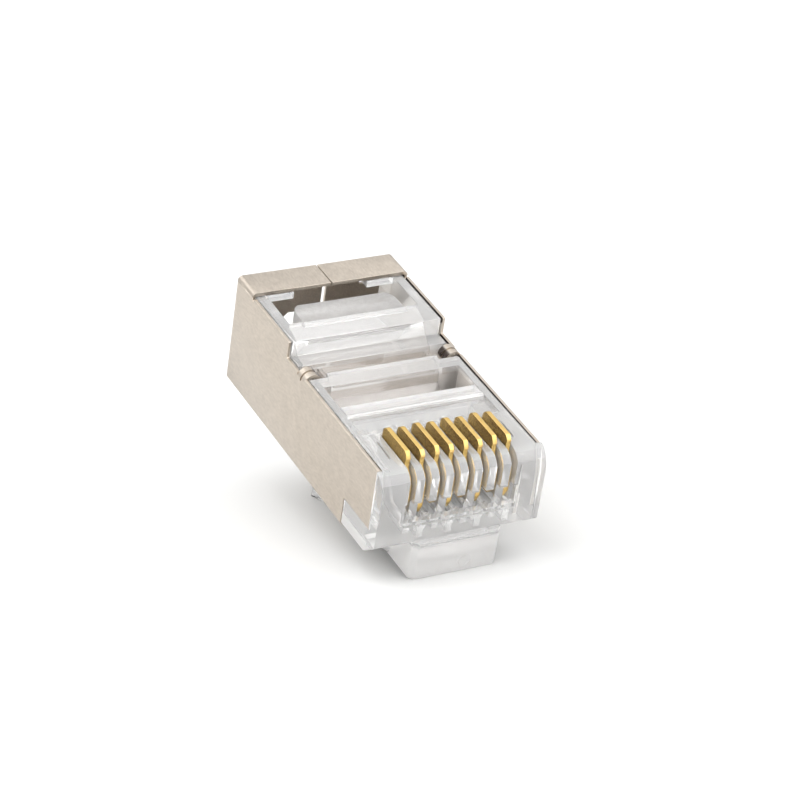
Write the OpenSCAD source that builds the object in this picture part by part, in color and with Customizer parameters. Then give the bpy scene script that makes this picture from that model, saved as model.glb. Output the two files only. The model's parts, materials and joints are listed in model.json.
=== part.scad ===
// Shielded eight-way ethernet plug, as supplied: not yet crimped onto a cable.
// Plug frame: X across the plug, Y from the nose to the cable mouth, Z from the
// latch face up to the contact face, with Z = 0 on the outside of the shield.
// The finished plug is pitched so that it lies on its latch, as it rests on a table.

/* [Housing] */
// Width across the nose
nose_w = 11.68; // [11.6:0.02:11.8]
// Height of the front part, from the latch face to the contact face
front_h = 6.6; // [6.5:0.05:6.8]
// Height of the rear block, from the latch face to its top
rear_h = 7.78; // [7.6:0.02:8]
// Distance from the nose face to the step up to the rear block
step_y = 14.3; // [14:0.1:14.6]
// Length of the rear block, from the step to the cable mouth
rear_l = 7.9; // [7.6:0.1:8.6]
// Depth of the rounding on the upper edge of the nose
nose_round_y = 1.15; // [0.9:0.05:1.3]
// Height of the rounding on the upper edge of the nose
nose_round_z = 1.7; // [1.3:0.1:1.9]
// Length of the slope under the nose
nose_slope_y = 1.45; // [1.2:0.05:1.6]
// Height of the slope under the nose
nose_slope_z = 1.15; // [1:0.05:1.25]

/* [Shield] */
// Width across the outside of the shield
shield_w = 11.5; // [11.3:0.02:11.52]
// Thickness of the sheet
sheet_t = 0.25; // [0.2:0.01:0.28]
// Gap between the sheet and the housing that it is folded round
sheet_gap = 0.07; // [0.03:0.01:0.08]
// Outside radius of the folds
fold_r = 0.34; // [0.3:0.02:0.5]
// Distance from the nose face to the front edge of the side plates
plate_y = 1.1; // [1:0.05:1.25]
// Distance from the nose face to the front of the shield's floor
floor_y = 4.7; // [4.5:0.1:4.9]
// Height of the lower edge of each side plate in front of the floor
tongue_z = 2.15; // [2:0.05:2.4]
// Length of the two flaps that close over the cable mouth
flap_l = 2.35; // [2.1:0.05:2.5]
// Gap at the seam between the two flaps
seam = 0.1; // [0.06:0.02:0.2]
// Width of the relief notch in front of each flap
notch_w = 0.16; // [0.1:0.02:0.3]
// Width of each hook that is curled into the cross groove
hook_w = 1.05; // [0.9:0.05:1.15]
// Outside radius of each hook
hook_r = 0.62; // [0.56:0.02:0.7]
// Distance from the cable mouth to the two tabs that touch the cable's braid
tab_inset = 1.48; // [1.3:0.02:1.6]
// Height of the lower edge of those tabs over the cable
tab_z = 5.6; // [5.55:0.05:6]
// How much lower they reach beside the cable
tab_deeper = 0.75; // [0.5:0.05:0.9]
// Distance between the tabs and the side walls of the cavity
tab_side = 0.5; // [0.4:0.05:0.8]
// Gap between the two tabs
tab_seam = 0.3; // [0.2:0.02:0.4]
// Half width of the cut-out in the shield's floor over the latch
latch_cut = 3.5; // [3.4:0.05:3.8]
// Length of that cut-out
latch_cut_l = 5.2; // [4.8:0.1:5.6]

/* [Contacts] */
// Number of contacts
ways = 8; // [8]
// Distance between neighbouring contacts
pitch = 1.02; // [1:0.01:1.04]
// Thickness of each contact
blade_t = 0.35; // [0.3:0.01:0.38]
// Gap on each side of a contact in its slot
blade_gap = 0.045; // [0.03:0.005:0.06]
// Height of the contacts above the contact face before crimping
proud = 0.8; // [0.7:0.05:0.85]
// How far crimping pushes a contact down
crimp_travel = 1.3; // [1.1:0.05:1.3]
// How much lower the second, fourth, sixth and eighth contacts stand
stagger_top = 0.1; // [0.05:0.01:0.15]
// How much lower their wire channels lie
stagger_wire = 0.5; // [0.45:0.01:0.55]
// Diameter of each wire channel
wire_d = 1; // [0.95:0.01:1.02]
// Height of the upper row of wire channels
wire_z = 2.85; // [2.8:0.01:2.95]
// Distance from the nose face to the lower front edge of a contact
blade_y = 0.72; // [0.7:0.01:0.8]
// Length of a contact from that edge to its rear edge
blade_l = 3.85; // [3.7:0.05:3.9]

/* [Clamps] */
// Thickness of the walls beside the window over the jacket clamp
window_wall = 0.72; // [0.65:0.01:0.9]
// Distance from the step to the hinge of the jacket clamp
clamp_inset = 2.05; // [1.9:0.05:2.2]
// Distance from the free end of the jacket clamp to the flaps
clamp_gap = 1.35; // [1.2:0.05:1.5]
// Gap on each side of the jacket clamp in its window
clamp_side = 1; // [0.8:0.05:1.2]
// Depth of the jacket clamp at its biting edge
clamp_deep = 1.35; // [1.2:0.05:1.5]
// Thickness of the walls beside the window over the wires
wire_window_wall = 0.52; // [0.45:0.01:0.6]
// Distance from the nose face to the front of the window over the wires
wire_window_y = 8.25; // [8.2:0.05:8.4]
// Length of that window
wire_window_l = 2.25; // [2.1:0.05:2.4]
// Length of the bar that clamps the wires, from its hinge to its rear face
bar_l = 0.75; // [0.7:0.01:0.8]
// Depth of that bar
bar_deep = 1.2; // [1.1:0.05:1.25]
// Radius of the hinges of both clamps
clamp_r = 0.38; // [0.36:0.01:0.4]
// Gap round the hinges
hinge_gap = 0.05; // [0.04:0.01:0.08]

/* [Cross groove] */
// Distance from the nose face to the front edge of the groove
groove_y = 12; // [11.95:0.05:12.1]
// Width of the groove
groove_w = 1.15; // [1.1:0.05:1.2]
// Depth of the groove
groove_deep = 0.8; // [0.7:0.05:0.9]

/* [Latch] */
// Width of the latch root and of the part in front of the shoulders
latch_w = 6.3; // [6.1:0.05:6.35]
// Width of the thumb piece of the latch
thumb_w = 3.2; // [3:0.1:3.4]
// How far the root stands out under the contact face of the body
root_drop = 1.3; // [1.2:0.05:1.35]
// How far the root stands out in front of the nose
root_out = 0.35; // [0.2:0.05:0.4]
// Thickness of the latch
latch_t = 1.2; // [1.1:0.02:1.24]
// Distance from the nose face to the hinge of the latch
latch_y = 3.1; // [2.9:0.1:3.3]
// Distance from the nose face to the locking shoulders
shoulder_y = 8.36; // [8.2:0.02:8.5]
// Length of the latch from its hinge to the end of the tab
latch_l = 13.87; // [13.4:0.01:14.2]
// Angle between the relaxed latch and the body
latch_angle = 20.9; // [19:0.1:22]

/* [Hidden] */
$fn = 48;
far = 60;
row = [for (i = [0 : ways - 1]) i];

clear_plastic = [0.86, 0.88, 0.9, 0.45];
plated_steel = [0.74, 0.71, 0.66];
gold = [0.86, 0.66, 0.25];

// Seats of the shield on the housing
core_x = shield_w / 2 - sheet_t - sheet_gap;
core_z = sheet_t + sheet_gap;
body_l = step_y + rear_l;
front_edge = 0.02;
foot_gap = 0.12;

// Contact rows
slot_w = blade_t + 2 * blade_gap;
slot_back = blade_y + blade_l + 0.13;
fin_set_back = 0.22;
comb_x = (ways - 1) * pitch / 2 + slot_w / 2 + 0.25;
function low(i) = i % 2;
function way_x(i) = (i - (ways - 1) / 2) * pitch;
function wire_centre(i) = wire_z - low(i) * stagger_wire;
function tip_z(i) = wire_centre(i) + wire_d / 2 + 0.05;
function top_z(i) = front_h + proud - low(i) * stagger_top;

// Cable cavity
window_x = core_x - window_wall;
wire_window_x = core_x - wire_window_wall;
cavity_floor = 0.9;
mouth_bevel = 0.6;
wire_floor = wire_centre(1) - wire_d / 2 - 0.1;
wire_roof = 4.4;
wire_x = window_x - 0.45;
cavity_roof = rear_h - 0.53;
mouth_y = body_l - flap_l;
mouth_x = 2.7;

// Hinges of the two clamps and of the latch, as points of the side view
clamp_pin = [step_y + clamp_inset, rear_h - clamp_r - 0.04];
clamp_l = mouth_y - clamp_gap - clamp_pin[0];
clamp_w = 2 * (window_x - clamp_side);
bar_pin = [wire_window_y - bar_l - hinge_gap, front_h - clamp_r - 0.02];
latch_pin = [latch_y, latch_t / 2 - root_drop];

// How the plug lies: on the lower front edge of the latch root and the end of the tab
root_foot = [-root_out, -root_drop];
tab_foot = latch_pin + [latch_l * cos(latch_angle) - latch_t / 2 * sin(latch_angle),
                        -latch_l * sin(latch_angle) - latch_t / 2 * cos(latch_angle)];
rest_pitch = atan2(root_foot[1] - tab_foot[1], tab_foot[0] - root_foot[0]);
rest_lift = -root_foot[0] * sin(rest_pitch) - root_foot[1] * cos(rest_pitch);
round_reach = sqrt(pow(nose_round_y * cos(rest_pitch), 2) + pow(nose_round_z * sin(rest_pitch), 2));
first_y = nose_round_y * cos(rest_pitch) - (front_h - nose_round_z) * sin(rest_pitch) - round_reach;
last_y = body_l * cos(rest_pitch);
rest_shift = -(first_y + last_y) / 2;

// Turns an outline of the side view, given as [y, z], into a solid that is wide in X
module across(width) {
    rotate([90, 0, 90])
        linear_extrude(height = width, center = true)
            children();
}

// Keeps what its children leave between two heights
module slab(x, y0, y1, z0, z1) {
    translate([-x, y0, z0])
        cube([2 * x, y1 - y0, z1 - z0]);
}

// Lies a piece of the plug down as the whole plug rests
module at_rest() {
    translate([0, rest_shift, rest_lift])
        rotate([rest_pitch, 0, 0])
            children();
}

// Side view of the nose and body: round above the nose, sloped below it
function nose_arc(steps) = [for (k = [0 : steps])
    let (a = 90 * k / steps)
    [nose_round_y * (1 - sin(a)), front_h - nose_round_z * (1 - cos(a))]];
body_side = concat(
    [[body_l, core_z], [body_l, rear_h], [step_y, rear_h], [step_y, front_h]],
    nose_arc(9),
    [[0, core_z + nose_slope_z], [nose_slope_y, core_z]]);

module housing_blank() {
    across(2 * core_x)
        polygon(body_side);
    // The nose stands out to the full width in front of the side plates
    intersection() {
        across(nose_w)
            polygon(body_side);
        slab(far, -1, plate_y - front_edge, -far, far);
    }
    // The feet below the side plates are flush with them
    intersection() {
        across(shield_w)
            polygon(body_side);
        slab(far, -1, floor_y - foot_gap, -far, tongue_z - front_edge);
    }
    latch_root();
}

// Root of the latch, moulded under the nose, with the seat that the latch bends in
module latch_root() {
    root_top = core_z + nose_slope_z - 0.1;
    difference() {
        across(latch_w)
            polygon([[-root_out, -root_drop], [latch_y - 0.15, -root_drop],
                     [latch_y - 0.15, core_z + 0.2], [0.3, core_z + nose_slope_z],
                     [-root_out + 0.1, core_z + nose_slope_z], [-root_out, root_top]]);
        across(far)
            translate(latch_pin)
                circle(r = latch_t / 2 + hinge_gap);
        // Bevels down the two front corners
        for (side = [-1, 1])
            translate([side * latch_w / 2, -root_out, 0])
                rotate([0, 0, 45])
                    cube([0.45, 0.45, far], center = true);
    }
}

// Cavity for the cable jacket at the rear, which narrows to the wires in front
module cable_cavity() {
    front = wire_window_y - 0.85;
    narrow_y = step_y - 2.1;
    intersection() {
        across(far)
            polygon([[front, wire_floor], [narrow_y, wire_floor], [step_y + 0.3, cavity_floor],
                     [body_l - mouth_bevel, cavity_floor], [body_l, cavity_floor - mouth_bevel],
                     [far, cavity_floor - mouth_bevel], [far, cavity_roof],
                     [clamp_pin[0] + clamp_l, cavity_roof], [clamp_pin[0], clamp_pin[1] - clamp_r + 0.02],
                     [step_y + 0.9, rear_h - 1.53],
                     [step_y - 0.9, wire_roof], [front, wire_roof]]);
        linear_extrude(height = far, center = true)
            polygon([[-window_x, far], [-window_x, step_y + 0.3], [-wire_x, narrow_y], [-wire_x, front],
                     [wire_x, front], [wire_x, narrow_y], [window_x, step_y + 0.3], [window_x, far]]);
    }
}

// Eight round channels that lead the wires under the contacts, in two staggered rows
module wire_channels() {
    for (i = row)
        translate([way_x(i), blade_y + 0.2, wire_centre(i)])
            rotate([-90, 0, 0])
                cylinder(d = wire_d, h = wire_window_y - 0.8 - blade_y - 0.2);
}

// Slots that the contacts slide down in, open to the top and the nose
module contact_slots() {
    for (i = row)
        translate([way_x(i), 0, 0]) {
            slab(slot_w / 2, -1, slot_back, tip_z(i) - 0.05, far);
            slab(slot_w / 2, blade_y - 0.1, slot_back, tip_z(i) - crimp_travel - 0.1, far);
        }
    slab(comb_x, -1, fin_set_back, wire_z - 0.2, far);
    // Below the fins the fronts of the contacts lie open in a pocket, which is deeper between the pairs
    pocket_top = tip_z(0) + 0.8;
    slab(comb_x, -1, blade_y - 0.02, tip_z(1) - 0.05, pocket_top);
    for (k = [1 : ways / 2 - 1])
        translate([(k - ways / 4) * 2 * pitch, 0, 0])
            slab((pitch - slot_w) / 2 + 0.02, -1, blade_y + 0.9, tip_z(1) - 0.05, pocket_top - 0.1);
}

// Window, mouth and hinge seat of the jacket clamp
module jacket_window() {
    slab(window_x, clamp_pin[0], mouth_y, cavity_roof - 0.8, far);
    slab(mouth_x, mouth_y - 0.1, body_l + 1, cavity_roof - 0.1, far);
    across(clamp_w + 2 * hinge_gap)
        translate(clamp_pin)
            circle(r = clamp_r + hinge_gap);
}

// Window over the wires, hinge seat of the wire clamp, and the shallow tray before it
module wire_window() {
    slab(wire_window_x, bar_pin[0], wire_window_y + wire_window_l, wire_roof - 0.1, far);
    across(2 * wire_window_x)
        translate(bar_pin)
            circle(r = clamp_r + hinge_gap);
    slab(wire_window_x, slot_back + 0.25, bar_pin[0] - clamp_r - hinge_gap - 0.2, front_h - 0.3, far);
}

// Groove across the contact face, with a pocket at each end for the hooks
module cross_groove() {
    slab(core_x + 1, groove_y, groove_y + groove_w, front_h - groove_deep / 2, far);
    slab(core_x - 1.7, groove_y, groove_y + groove_w, front_h - groove_deep, far);
    for (side = [-1, 1])
        translate([side * (core_x - 0.65), 0, 0])
            slab(0.75, groove_y - 0.5, groove_y + groove_w, front_h - groove_deep - 0.1, far);
}

// Thin slits beside the first and the last contact
module end_slits() {
    for (side = [-1, 1])
        translate([side * (comb_x + 0.35), 0, 0])
            slab(0.05, blade_y + 1.4, blade_y + 3.3, front_h - 0.3, far);
}

module housing() {
    color(clear_plastic)
        difference() {
            housing_blank();
            cable_cavity();
            wire_channels();
            contact_slots();
            jacket_window();
            wire_window();
            cross_groove();
            end_slits();
        }
}

// Section of a folded sheet across the plug: a box with round corners
module fold_section(width, z0, z1, r) {
    for (side = [-1, 1])
        for (z = [z0 + r, z1 - r])
            translate([side * (width / 2 - r), z])
                circle(r = r);
    translate([-width / 2, z0 + r])
        square([width, z1 - z0 - 2 * r]);
    translate([-width / 2 + r, z0])
        square([width - 2 * r, z1 - z0]);
}

// Wraps the sheet round a height, along the whole plug
module sleeve(z1) {
    rotate([90, 0, 0])
        linear_extrude(height = far, center = true)
            difference() {
                fold_section(shield_w, 0, z1, fold_r);
                fold_section(shield_w - 2 * sheet_t, sheet_t, z1 - sheet_t, fold_r - sheet_t);
            }
}

// Side view of a hook: up from the side plate, over, and down towards the cross groove
function arc(r, a0, a1, steps) = [for (k = [0 : steps])
    let (a = a0 + (a1 - a0) * k / steps)
    [r * cos(a), r * sin(a)]];

// One hook: a ribbed arch over the housing's edge, with a point that curls into the cross groove
module hook(side) {
    inner = hook_r - sheet_t;
    y0 = groove_y - 0.4;
    y1 = y0 + hook_w;
    arch_z = front_h - 0.36;
    leg = 0.46;
    scale([side, 1, 1])
        difference() {
            translate([shield_w / 2 - hook_r, y1, arch_z])
                rotate([90, 0, 0])
                    linear_extrude(height = hook_w)
                        polygon(concat(arc(hook_r, 0, 180, 16), [[-hook_r, -leg], [-inner, -leg]],
                                       arc(inner, 180, 0, 12)));
            // The leg narrows to a point
            across(far)
                polygon([[y0 - 1, arch_z - 0.1], [y0, arch_z - 0.1], [y0 + 0.4 * hook_w, arch_z - leg],
                         [y0 + 0.4 * hook_w, 0], [y0 - 1, 0]]);
            across(far)
                polygon([[y1 + 1, arch_z - 0.1], [y1, arch_z - 0.1], [y1 - 0.4 * hook_w, arch_z - leg],
                         [y1 - 0.4 * hook_w, 0], [y1 + 1, 0]]);
            // The groove between its two ribs
            translate([shield_w / 2 - hook_r, (y0 + y1) / 2 + 0.08, arch_z])
                rotate([90, 0, 0])
                    linear_extrude(height = 0.16)
                        polygon(concat(arc(hook_r + 0.2, 0, 180, 16), arc(hook_r - 0.1, 180, 0, 16)));
        }
}

// The two tabs: hemmed under the rear edge of the flaps, then turned down behind the clamp
module braid_tabs() {
    hem_top = rear_h - 0.02;
    hem_x = mouth_x - 0.1;
    hem_in = 0.3;
    tabs_x = window_x - tab_side;
    low_z = tab_z - tab_deeper;
    tab_y = body_l - tab_inset;
    for (side = [-1, 1])
        scale([side, 1, 1]) {
            translate([hem_in, tab_y, hem_top - sheet_t])
                cube([hem_x - hem_in, tab_inset, sheet_t]);
            translate([hem_in, body_l - sheet_t, hem_top - sheet_t])
                cube([hem_x - hem_in, sheet_t, 2 * sheet_t + sheet_gap + 0.02]);
            translate([0, tab_y + sheet_t, 0])
                rotate([90, 0, 0])
                    linear_extrude(height = sheet_t)
                        polygon([[hem_in, hem_top], [hem_x, hem_top], [hem_x, rear_h - 0.7],
                                 [tabs_x, rear_h - 0.9], [tabs_x, low_z + 0.3], [tabs_x - 0.3, low_z],
                                 [tabs_x - 0.95, low_z], [tabs_x - 1.7, tab_z], [tab_seam / 2, tab_z],
                                 [tab_seam / 2, rear_h - 0.5], [hem_in, rear_h - 0.4]]);
        }
}

module shield() {
    flap_top = rear_h + sheet_gap + sheet_t;
    color(plated_steel) {
        // Floor and side plates, cut from the sleeve, with the outline of the side plates
        intersection() {
            sleeve(far);
            difference() {
                across(far)
                    polygon([[plate_y, tongue_z], [floor_y, tongue_z], [floor_y, -1], [body_l, -1],
                             [body_l, rear_h], [step_y, rear_h], [step_y, front_h], [plate_y, front_h]]);
                slab(latch_cut, 0, floor_y + latch_cut_l, -1, sheet_t + 0.1);
                // The hooks leave the top edge of the side plates here
                slab(far, groove_y - 0.4, groove_y - 0.4 + hook_w, front_h - 0.36, front_h + 0.1);
                slab(far, mouth_y - notch_w, mouth_y, rear_h - 0.2, rear_h + 1);
            }
        }
        // Flaps folded over the cable mouth
        difference() {
            intersection() {
                sleeve(flap_top);
                slab(far, mouth_y, body_l, rear_h - 1, far);
            }
            slab(seam / 2, 0, far, rear_h, far);
        }
        for (side = [-1, 1])
            hook(side);
        braid_tabs();
    }
}

// Latch: wide as far as the shoulders, then a narrow thumb tab with grip ridges
module latch_blank() {
    shoulder_u = (shoulder_y - latch_y) / cos(latch_angle);
    half = latch_t / 2;
    across(latch_w) {
        circle(r = half);
        polygon([[0, -half], [shoulder_u, -half], [shoulder_u, half + 0.3], [1.2, half], [0, half]]);
    }
    across(thumb_w)
        polygon([[shoulder_u - 0.5, -half + 0.15], [latch_l - 1.9, -half + 0.15], [latch_l - 1.7, -half],
                 [latch_l - 0.06, -half], [latch_l, -half + 0.06], [latch_l, 0.1], [latch_l - 0.45, half - 0.15],
                 [shoulder_u - 0.5, half - 0.15]]);
    for (k = [0 : 2])
        translate([0, latch_l - 2.5 - 0.8 * k, -half + 0.15])
            rotate([0, 90, 0])
                cylinder(r = 0.12, h = thumb_w, center = true);
}

module latch() {
    color(clear_plastic)
        translate([0, latch_pin[0], latch_pin[1]])
            rotate([-latch_angle, 0, 0])
                latch_blank();
}

// Jacket clamp: a tongue that is pressed down onto the cable jacket
module jacket_clamp() {
    corner = 1;
    free_y = clamp_pin[0] + clamp_l;
    top = clamp_pin[1] + clamp_r - 0.01;
    color(clear_plastic)
        intersection() {
            union() {
                across(clamp_w)
                    translate(clamp_pin)
                        circle(r = clamp_r);
                across(clamp_w)
                    polygon([[clamp_pin[0], top], [free_y - 0.15, top], [free_y, top - 0.15],
                             [free_y, top - clamp_deep + 0.3], [free_y - 0.5, top - clamp_deep],
                             clamp_pin + [clamp_l * 0.28, -clamp_r - 0.1], clamp_pin + [0, -0.2]]);
            }
            translate([0, 0, -far / 2])
                linear_extrude(height = far) {
                    translate([-clamp_w / 2, 0])
                        square([clamp_w, free_y - corner]);
                    translate([-clamp_w / 2 + corner, 0])
                        square([clamp_w - 2 * corner, free_y]);
                    for (side = [-1, 1])
                        translate([side * (clamp_w / 2 - corner), free_y - corner])
                            circle(r = corner);
                }
        }
}

// Wire clamp: the bar that is pressed down onto the eight wires
module wire_clamp() {
    top = bar_pin[1] + clamp_r - 0.01;
    width = 2 * (wire_window_x - hinge_gap);
    color(clear_plastic) {
        across(width)
            translate(bar_pin)
                circle(r = clamp_r);
        across(width)
            polygon([[bar_pin[0], top], [bar_pin[0] + bar_l, top],
                     [bar_pin[0] + bar_l, top - bar_deep + 0.2], [bar_pin[0] + bar_l - 0.25, top - bar_deep],
                     bar_pin + [0.32, -clamp_r], bar_pin + [0, -0.2]]);
        }
}

// One contact: a flat blade with a round back, a nosed front and three piercing points
module contact_blade(i) {
    top = top_z(i);
    tip = tip_z(i);
    back = blade_y + blade_l;
    crown = blade_y + 0.63;
    round = 0.5;
    tooth = blade_l / 3;
    color(gold)
        translate([way_x(i), 0, 0])
            across(blade_t) {
                polygon(concat(
                    [for (k = [0 : 6])
                        let (a = 15 * k)
                        [back - round + round * sin(a), top - round + round * cos(a)]],
                    [for (k = [2 : -1 : 0])
                        for (p = [[blade_y + tooth * (k + 1), tip + 0.75], [blade_y + tooth * (k + 0.72), tip],
                                  [blade_y + tooth * (k + 0.28), tip]])
                            p],
                    [[blade_y, tip + 0.75], [blade_y, front_h - 1.35],
                     [blade_y + 0.2, front_h - 0.85], [crown, front_h - 0.45], [crown, front_h + 0.15],
                     [crown - 0.05, front_h + 0.3], [crown, front_h + 0.45], [crown + 0.22, top]]));
            }
}

at_rest() housing();
at_rest() shield();
at_rest() latch();
at_rest() jacket_clamp();
at_rest() wire_clamp();
at_rest() contact_blade(0);  // contact_1
at_rest() contact_blade(1);  // contact_2
at_rest() contact_blade(2);  // contact_3
at_rest() contact_blade(3);  // contact_4
at_rest() contact_blade(4);  // contact_5
at_rest() contact_blade(5);  // contact_6
at_rest() contact_blade(6);  // contact_7
at_rest() contact_blade(7);  // contact_8
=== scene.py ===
# %% [markdown]
# # A shielded ethernet plug, dressed for a product photograph
#
# This lesson dresses a small clear plug with a folded metal shield, as it is sold before a cable is
# crimped into it. The solids come from a CAD model and already have their true shapes, sizes and
# moving joints. What is left for Blender is what a photographer sees: clear plastic that bends the
# light, nickel plating with a rolled grain, gold blades, and a white table under a softbox.
#
# The CAD frame is loaded first, because every piece here is placed by it.

import json
import math

import bmesh
import bpy
from mathutils import Matrix, Vector


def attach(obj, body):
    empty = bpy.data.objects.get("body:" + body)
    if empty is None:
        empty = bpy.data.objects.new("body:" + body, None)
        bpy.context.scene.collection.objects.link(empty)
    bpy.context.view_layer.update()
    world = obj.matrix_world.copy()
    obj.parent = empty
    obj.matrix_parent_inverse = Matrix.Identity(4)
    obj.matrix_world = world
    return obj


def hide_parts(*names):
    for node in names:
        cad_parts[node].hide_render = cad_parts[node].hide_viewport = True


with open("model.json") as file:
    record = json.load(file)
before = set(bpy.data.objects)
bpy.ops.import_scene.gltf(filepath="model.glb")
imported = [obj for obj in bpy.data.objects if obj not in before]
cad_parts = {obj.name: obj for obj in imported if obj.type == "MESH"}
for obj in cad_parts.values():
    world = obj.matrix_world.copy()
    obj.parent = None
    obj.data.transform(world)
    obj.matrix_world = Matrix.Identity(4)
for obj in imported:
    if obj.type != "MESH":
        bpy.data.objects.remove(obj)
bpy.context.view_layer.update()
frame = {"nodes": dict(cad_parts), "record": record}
MM = 0.001
print("nodes:", sorted(frame["nodes"]))

# %% [markdown]
# ## The camera
#
# The plug lies on its latch, so its nose points down at the table. The photograph was taken with a
# long lens from the front left, a little above. A long lens flattens the plug, and that is why its
# far end looks nearly as wide as its nose. The camera is set by a place, by the three angles that a
# tripod head has, and by the focal length on a 36 mm wide frame.

# %% Set up the camera
CAMERA_AT = Vector((-84.45, -162.42, 68.28)) * MM
CAMERA_AZIMUTH = -27.88
CAMERA_ELEVATION = 18.06
CAMERA_ROLL = -0.33
LENS = 133.4


def look_from(azimuth, elevation, roll):
    """Axes of a camera that looks back at the plug from this side."""
    a, e, r = (math.radians(v) for v in (azimuth, elevation, roll))
    back = Vector((math.sin(a) * math.cos(e), -math.cos(a) * math.cos(e), math.sin(e)))
    level = Vector((math.cos(a), math.sin(a), 0))
    rise = back.cross(level)
    right = math.cos(r) * level + math.sin(r) * rise
    up = -math.sin(r) * level + math.cos(r) * rise
    return Matrix((right, up, back)).transposed()


camera = bpy.data.objects.new("camera", bpy.data.cameras.new("camera"))
camera.data.sensor_width = 36
camera.data.lens = LENS
camera.data.clip_start, camera.data.clip_end = 0.01, 10
turn = look_from(CAMERA_AZIMUTH, CAMERA_ELEVATION, CAMERA_ROLL).to_4x4()
camera.matrix_world = Matrix.Translation(CAMERA_AT) @ turn
bpy.context.scene.collection.objects.link(camera)
bpy.context.scene.camera = camera

# %% [markdown]
# ## Shader maths as Python
#
# A finish is a small calculation: a grain, times a strength, added to a roughness. Written as nodes
# it fills a screen, and written as Python it is one line. The class below wraps a socket. Adding or
# multiplying two wires adds the Math node that does it, and the reflected forms let a plain number
# stand on the left. Any other node comes from one method, which takes the node's type, its settings
# and what goes into its sockets.

# %% A socket that does arithmetic
class Wire:
    """The output of a node, ready for Python arithmetic."""

    def __init__(self, finish, socket):
        self.finish, self.socket = finish, socket

    def maths(self, operation, a, b=0.0):
        return self.finish.node("ShaderNodeMath", {"operation": operation}, {0: a, 1: b})

    def __add__(self, other):
        return self.maths("ADD", self, other)

    def __radd__(self, other):
        return self.maths("ADD", other, self)

    def __sub__(self, other):
        return self.maths("SUBTRACT", self, other)

    def __rsub__(self, other):
        return self.maths("SUBTRACT", other, self)

    def __mul__(self, other):
        return self.maths("MULTIPLY", self, other)

    def __rmul__(self, other):
        return self.maths("MULTIPLY", other, self)

    def __gt__(self, other):
        return self.maths("GREATER_THAN", self, other)

    def __lt__(self, other):
        return self.maths("LESS_THAN", self, other)

    def __abs__(self):
        return self.maths("ABSOLUTE", self)

    def between(self, low, high):
        """0 at low, 1 at high, smooth in between."""
        settings = {"interpolation_type": "SMOOTHSTEP", "clamp": True}
        return self.finish.node("ShaderNodeMapRange", settings, {0: self, 1: low, 2: high, 3: 0.0, 4: 1.0})


class Finish:
    """A material under construction, with one shader at its end."""

    def __init__(self, name):
        self.material = bpy.data.materials.new(name)
        self.material.use_nodes = True
        self.tree = self.material.node_tree
        self.shader = self.tree.nodes["Principled BSDF"]

    def node(self, kind, settings=None, sockets=None, out=0):
        made = self.tree.nodes.new(kind)
        for key, value in (settings or {}).items():
            if key == "stops":
                ramp = made.color_ramp
                while len(ramp.elements) < len(value):
                    ramp.elements.new(0.5)
                for element, (place, colour) in zip(ramp.elements, value):
                    element.position, element.color = place, (*colour, 1)
            else:
                setattr(made, key, value)
        for key, value in (sockets or {}).items():
            self.plug(made.inputs[key], value)
        return Wire(self, made.outputs[out])

    def plug(self, socket, value):
        if isinstance(value, Wire):
            self.tree.links.new(value.socket, socket)
        elif isinstance(value, tuple) and len(value) == 3 and socket.type == "RGBA":
            socket.default_value = (*value, 1)
        else:
            socket.default_value = value

    def mix(self, amount, first, second):
        """Blends two colours."""
        return self.node("ShaderNodeMix", {"data_type": "RGBA"}, {0: amount, 6: first, 7: second}, out=2)

    def set(self, shader=None, **values):
        for name, value in values.items():
            self.plug((shader or self.shader).inputs[name.replace("_", " ")], value)

    def second(self, amount, **values):
        """Mixes in a second shader, by this amount from 0 to 1."""
        other = self.tree.nodes.new("ShaderNodeBsdfPrincipled")
        self.set(other, **values)
        both = self.node("ShaderNodeMixShader", None, {0: amount})
        self.tree.links.new(self.shader.outputs[0], both.socket.node.inputs[1])
        self.tree.links.new(other.outputs[0], both.socket.node.inputs[2])
        self.tree.links.new(both.socket, self.tree.nodes["Material Output"].inputs["Surface"])

    def place(self):
        """Where a point is, in millimetres."""
        at = self.node("ShaderNodeTexCoord", out="Object")
        return self.node("ShaderNodeVectorMath", {"operation": "SCALE"}, {0: at, "Scale": 1000.0})

    def along_plug(self):
        """The same point from the middle of the nose, in the plug's own tilted axes."""
        moved = self.node("ShaderNodeVectorMath", {"operation": "SUBTRACT"},
                          {0: self.place(), 1: tuple(NOSE / MM)})
        return self.node("ShaderNodeMapping", {"vector_type": "POINT"},
                         {0: moved, "Rotation": (-REST_PITCH, 0, 0)})

    def noise(self, at, scale, detail=2.0, stretch=None):
        if stretch:
            at = self.node("ShaderNodeVectorMath", {"operation": "MULTIPLY"}, {0: at, 1: stretch})
        return self.node("ShaderNodeTexNoise", None, {"Vector": at, "Scale": scale, "Detail": detail})

    def split(self, vector):
        parts = self.node("ShaderNodeSeparateXYZ", None, {0: vector}).socket.node
        return [Wire(self, parts.outputs[i]) for i in range(3)]

    def bump(self, height, depth, strength=1.0, over=None):
        sockets = {"Height": height, "Distance": depth * MM, "Strength": strength}
        if over is not None:
            sockets["Normal"] = over
        return self.node("ShaderNodeBump", None, sockets)


# The plug's own axes are pitched by the angle at which it rests. The record gives that angle and the
# middle of the nose, which is 3.3 mm above the latch face
MOUNTS = {m["name"]: m for m in frame["record"]["mounts"]}
REST_PITCH = math.atan2(MOUNTS["cable_entry"]["axis"][2], MOUNTS["cable_entry"]["axis"][1])
NOSE = Vector(MOUNTS["jack_insertion"]["pos_m"])
NOSE_HEIGHT = 3.3
print("the plug is pitched", round(math.degrees(REST_PITCH), 2), "degrees nose down")

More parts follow.
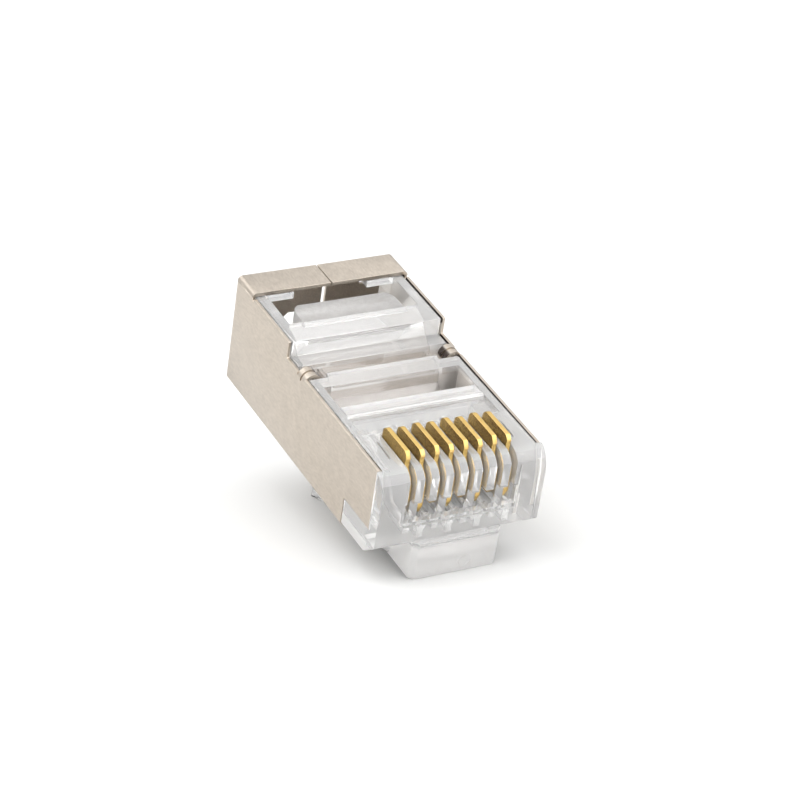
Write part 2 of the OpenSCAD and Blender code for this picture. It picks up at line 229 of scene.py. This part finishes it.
# %% [markdown]
# ## Nickel-plated sheet
#
# The shield is thin sheet that was plated before it was folded. Up close the plating is a warm grey
# with a fine rolled grain along the strip, and a faint mottling where the nickel took unevenly. The
# grain is a noise that is stretched along the plug. It varies the roughness more than the colour,
# because that is how a grain shows: it spreads the reflections of the room.

# %% Finish of the shield
FRONT_EDGE, REAR_EDGE, STEP = 6.6, 7.78, 14.3


def plated_sheet():
    f = Finish("plated_sheet")
    at = f.along_plug()
    grain = f.noise(at, 9.0, 6.0, (1.0, 0.25, 1.0))
    mottle = f.noise(at, 1.3, 3.0)
    speck = f.noise(at, 22.0, 2.0)
    tone = (0.45 * grain + 0.2 * mottle + 0.35 * speck).between(0.32, 0.68)
    bright = f.mix(tone, (0.45, 0.397, 0.338), (0.59, 0.526, 0.453))
    # Painted shade: just under its upper edge the inward-facing side of the sheet lies in the dark of a narrow gap,
    # and a near-black base colour paints that dark in
    facing = f.split(f.node("ShaderNodeTexCoord", out="Normal"))
    across, along, up = f.split(at)
    edge = FRONT_EDGE - NOSE_HEIGHT + (REAR_EDGE - FRONT_EDGE) * (along > STEP)
    painted_gap_shade = (0 - across * facing[0]).between(1.5, 3.0) * (up - edge).between(-0.5, -0.3)
    # Painted light: the side walls get a paler nickel on their inward-facing sides, to lighten the clear plastic
    # seen against them
    painted_wall_light = (0 - across * facing[0]).between(1.5, 3.0)
    # Painted shade: the bottom plate gets a darker nickel on its face up into the plug, under the windows
    painted_bottom_shade = facing[2].between(0.5, 0.8) * (1 - up.between(-2.8, -2.6))
    painted_lining = f.mix(painted_bottom_shade, f.mix(painted_wall_light, bright, (0.8, 0.76, 0.7)), (0.3, 0.265, 0.23))
    f.set(Metallic=1.0, Base_Color=f.mix(painted_gap_shade, painted_lining, (0.05, 0.04, 0.035)),
          Roughness=0.24 + 0.16 * grain + 0.06 * mottle,
          Normal=f.bump(0.6 * grain + 0.4 * speck, 0.006, 0.5))
    return f.material


nickel = plated_sheet()
print(nickel.name, "has", len(nickel.node_tree.nodes), "nodes")

# %% [markdown]
# ## Clear and frosted polycarbonate
#
# The housing is water clear where its mould was polished, and frosted where the mould was left
# bead-blasted: the latch, its root and the jacket clamp. Both are the same plastic, with the same
# index of refraction. The frosted finishes are rougher and their transmission differs a little, and
# the jacket clamp is given a darker grey than the latch: painted shade, for the dark hollow it is seen
# against. The root of the latch, which is one moulding with the clear nose, turns frosted by its place
# on the plug, through a second shader mixed into the clear finish and not by a second material.

# %% Finishes of the plastic
PIN_MARK = (0.65, 0.0, -0.55 - NOSE_HEIGHT)
PIN_RADIUS = 0.42
CORE_X, CAVITY_TOP = 5.43, 6.2
WARM_WHITE, COOL_WHITE = (0.998, 0.995, 0.992), (1.0, 1.0, 1.0)


def clear_plastic():
    """Polished plastic, frosted on the root of the latch."""
    f = Finish("clear_plastic")
    at = f.along_plug()
    flow = f.noise(at, 0.9, 2.0, (1.0, 0.4, 1.0))
    skin = f.noise(at, 26.0, 3.0)
    colour = f.mix(flow, WARM_WHITE, COOL_WHITE)
    across, along, up = f.split(at)
    # The core that forms the hollow for the cable is only blasted, so the walls of that hollow are duller.
    # Their darker, browner base colour is painted shade, for the dark deep in that hollow
    height = up + NOSE_HEIGHT
    blasted_and_shaded_hollow = (height < CAVITY_TOP) * (height > 0.6) * (along > 8.2) * (abs(across) < CORE_X - 0.1)
    f.set(Base_Color=f.mix(blasted_and_shaded_hollow, colour, (0.75, 0.7, 0.655)), Transmission_Weight=0.81, IOR=1.58,
          Roughness=0.03 + 0.03 * flow + 0.1 * blasted_and_shaded_hollow,
          Normal=f.bump(flow, 0.012, 0.3))
    # A ring in the front of the root, left by the pin that pushed the plug out of its mould
    flat = f.node("ShaderNodeVectorMath", {"operation": "MULTIPLY"}, {0: at, 1: (1, 0, 1)})
    reach = f.node("ShaderNodeVectorMath", {"operation": "DISTANCE"}, {0: flat, 1: PIN_MARK}, out=1)
    ring = (1 - abs(reach - PIN_RADIUS).between(0.0, 0.1)) * (along < 0.0)
    root = 1 - (up + NOSE_HEIGHT).between(1.0, 1.3)
    f.second(root, Base_Color=(0.97, 0.96, 0.95), Transmission_Weight=0.7, IOR=1.58, Roughness=0.26 + 0.08 * skin,
             Normal=f.bump(ring + 0.1 * skin, 0.05, 0.6))
    return f.material


def frosted_plastic(name, dark, light):
    """Bead-blasted plastic, with a fine cloudy grain between two greys."""
    f = Finish(name)
    at = f.along_plug()
    cloud = f.noise(at, 3.5, 4.0)
    skin = f.noise(at, 15.0, 3.0)
    grain = (0.5 * cloud + 0.5 * skin).between(0.35, 0.65)
    f.set(Base_Color=f.mix(grain, dark, light), Transmission_Weight=0.85,
          IOR=1.58, Roughness=0.3 + 0.12 * grain, Normal=f.bump(grain, 0.012, 0.5))
    return f.material


clear = clear_plastic()
frosted = frosted_plastic("frosted_plastic", (0.93, 0.925, 0.92), (0.995, 0.99, 0.985))
# Painted shade: the jacket clamp's darker greys stand for the dark hollow it is seen against
shaded_clamp_plastic = frosted_plastic("shaded_clamp_plastic", (0.6, 0.587, 0.574), (0.76, 0.75, 0.74))
print(clear.name, frosted.name, shaded_clamp_plastic.name)

# %% [markdown]
# ## Gold-plated blades
#
# Each contact is stamped from strip, so its flat sides are duller, with rolling marks. They are also
# given a much darker gold than the cut edges: painted shade, for the narrow slots between the fins
# that they face. The surface normal tells the two apart: on the sides it points across the plug.

# %% Finish of the contacts
def gold_plate():
    f = Finish("gold_plate")
    at = f.along_plug()
    across = abs(f.split(f.node("ShaderNodeTexCoord", out="Normal"))[0])
    side = across.between(0.4, 0.8)
    wear = f.noise(at, 6.0, 4.0, (1.0, 0.3, 1.0))
    hatch = f.noise(at, 16.0, 3.0, (1.0, 0.45, 1.0)).between(0.35, 0.65)
    edge_gold = f.mix(wear, (0.68, 0.44, 0.12), (0.88, 0.64, 0.25))
    # Partly painted shade: the flat sides get a darker gold than the edges; the hatch of rolling marks on them is
    # their own
    shaded_side_gold = f.mix(hatch, (0.24, 0.145, 0.035), (0.62, 0.42, 0.14))
    f.set(Metallic=1.0, Base_Color=f.mix(side, edge_gold, shaded_side_gold),
          Roughness=0.16 + 0.14 * side + 0.1 * wear,
          Normal=f.bump(0.4 * wear + 0.6 * hatch, 0.006, 0.5))
    return f.material


gold = gold_plate()
print(gold.name, "has", len(gold.node_tree.nodes), "nodes")

# %% [markdown]
# ## Edges that catch the light
#
# A CAD solid has perfectly sharp edges, and nothing real has. A moulded edge is rounded by its mould
# by a few hundredths of a millimetre, and a punched one is rolled over on one side. That tiny round is
# what draws the thin bright lines in a photograph of a clear or a plated part. So each solid is
# copied, its triangles are joined into whole faces, and its sharp edges are bevelled. The copy takes
# the place of the solid in the picture and moves with the same body.

# %% Copy the solids with softened edges
BODY_OF = {node: body for body, nodes in frame["record"]["behaviour"]["bodies"].items() for node in nodes}
SHARP = math.radians(28)
FINE = 0.1
CHANNELS = (4.1, 8.0, 3.6)
HOOKS = (4.2, 11.4, 12.9, 5.5)
RAIL_X, RAIL_Y, RAIL_Z = 5.35, 1.3, 6.5


def on_plug(point):
    """A point in millimetres across, along and up the plug, from the middle of its latch face."""
    moved = Matrix.Rotation(-REST_PITCH, 3, "X") @ (point - NOSE) / MM
    return moved.x, moved.y, moved.z + NOSE_HEIGHT


def roundness(edge):
    """How much of the full bevel an edge gets. Short edges and the curled hooks are too fine for any."""
    x, y, z = on_plug((edge.verts[0].co + edge.verts[1].co) / 2)
    out, front, back, low = HOOKS
    fine = edge.calc_length() < FINE * MM
    hook = abs(x) > out and front < y < back and z > low
    channel = abs(x) < CHANNELS[0] and y < CHANNELS[1] and 0.5 < z < CHANNELS[2]
    if fine or hook or channel:
        return 0.0
    return 1.0 if abs(x) > RAIL_X and z > RAIL_Z and y > RAIL_Y else 0.4


def softened(node, name, finish, edge):
    """A copy of a CAD node whose sharp edges are rounded over this many millimetres."""
    shape = bmesh.new()
    shape.from_mesh(frame["nodes"][node].data)
    bmesh.ops.remove_doubles(shape, verts=shape.verts, dist=0.0005 * MM)
    bmesh.ops.dissolve_limit(shape, angle_limit=math.radians(0.5), verts=shape.verts, edges=shape.edges)
    weight = shape.edges.layers.float.new("bevel_weight_edge")
    for line in shape.edges:
        sharp = len(line.link_faces) != 2 or line.calc_face_angle() > SHARP
        line.smooth = not sharp
        line[weight] = roundness(line) if sharp else 0.0
    for side in shape.faces:
        side.smooth = True
    mesh = bpy.data.meshes.new(name)
    shape.to_mesh(mesh)
    shape.free()
    mesh.materials.append(finish)
    piece = bpy.data.objects.new(name, mesh)
    bpy.context.scene.collection.objects.link(piece)
    rounding = piece.modifiers.new("rounding", "BEVEL")
    rounding.width, rounding.segments = edge * MM, 2
    rounding.limit_method = "WEIGHT"
    rounding.use_clamp_overlap = False
    rounding.harden_normals = True
    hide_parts(node)
    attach(piece, BODY_OF[node])
    return piece


FINISHES = {"housing": clear, "shield": nickel, "latch": frosted, "jacket_clamp": shaded_clamp_plastic, "wire_clamp": clear}
PIECES = [("housing", "housing_moulding", 0.13), ("shield", "shield_sheet", 0.07),
          ("latch", "latch_moulding", 0.2), ("jacket_clamp", "jacket_clamp_moulding", 0.15),
          ("wire_clamp", "wire_clamp_moulding", 0.12)]
PIECES += [(f"contact_{i}", f"contact_{i}_blade", 0.16) for i in range(1, 9)]
for node, name, edge in PIECES:
    piece = softened(node, name, FINISHES.get(node, gold), edge)
    print(name, "has", len(piece.data.polygons), "faces before its edges are rounded")

# %% [markdown]
# ## The table and the light
#
# The photograph is a cut-out look made in the studio: a white table that burns out to white, with
# one pale soft shadow under the plug. A large softbox overhead does that, and a bright room fills
# the shadow. The table is far wider than the picture, so no edge of it shows or reflects.

# %% Build the table
floor_mesh = bpy.data.meshes.new("table")
shape = bmesh.new()
bmesh.ops.create_grid(shape, x_segments=4, y_segments=4, size=1.5)
shape.to_mesh(floor_mesh)
shape.free()
table = bpy.data.objects.new("table", floor_mesh)
bpy.context.scene.collection.objects.link(table)
paper = Finish("table_paper")
paper.set(Base_Color=(0.56, 0.56, 0.555), Roughness=0.6, Specular_IOR_Level=0.2)
table.data.materials.append(paper.material)
print("table is", round(table.dimensions.x, 2), "m wide")

# %% Light it
world = bpy.data.worlds.new("studio")
bpy.context.scene.world = world
world.use_nodes = True
WALLS, CEILING = 1.2, 1.65
FRONT, BACK = 1.76, 0.62
sky, wires = world.node_tree.nodes, world.node_tree.links
direction = sky.new("ShaderNodeSeparateXYZ")
wires.new(sky.new("ShaderNodeTexCoord").outputs["Generated"], direction.inputs["Vector"])


def brightness(axis, start, end, first, last):
    """Light of the room that changes along an axis, between two heights on the unit sphere."""
    ramp = sky.new("ShaderNodeMapRange")
    for i, value in enumerate((start, end, first, last), 1):
        ramp.inputs[i].default_value = value
    wires.new(direction.outputs[axis], ramp.inputs[0])
    return ramp.outputs[0]


room = sky.new("ShaderNodeMath")
room.operation = "MULTIPLY"
wires.new(brightness("Z", 0.0, 0.7, WALLS, CEILING), room.inputs[0])
wires.new(brightness("Y", -0.8, 0.6, FRONT, BACK), room.inputs[1])
wires.new(room.outputs[0], sky["Background"].inputs["Strength"])
sky["Background"].inputs["Color"].default_value = (1.0, 1.0, 1.0, 1)


def softbox(name, at, size, power):
    """A square soft light that points at the plug."""
    light = bpy.data.objects.new(name, bpy.data.lights.new(name, "AREA"))
    light.data.shape, light.data.size, light.data.energy = "SQUARE", size, power
    light.location = at
    light.rotation_mode = "QUATERNION"
    light.rotation_quaternion = (-Vector(at)).to_track_quat("-Z", "Y")
    bpy.context.scene.collection.objects.link(light)
    return light


key = softbox("overhead", (-0.26, 0.02, 0.4), 0.35, 1.5)
print("softbox of", key.data.size, "m in a room of", WALLS, "to", CEILING)

# Clear plastic passes a ray on many times before it leaves, and a ray that gives up turns black
paths = bpy.context.scene.cycles
paths.max_bounces, paths.transmission_bounces, paths.transparent_max_bounces = 48, 48, 16
bpy.context.scene.view_settings.view_transform = "Standard"
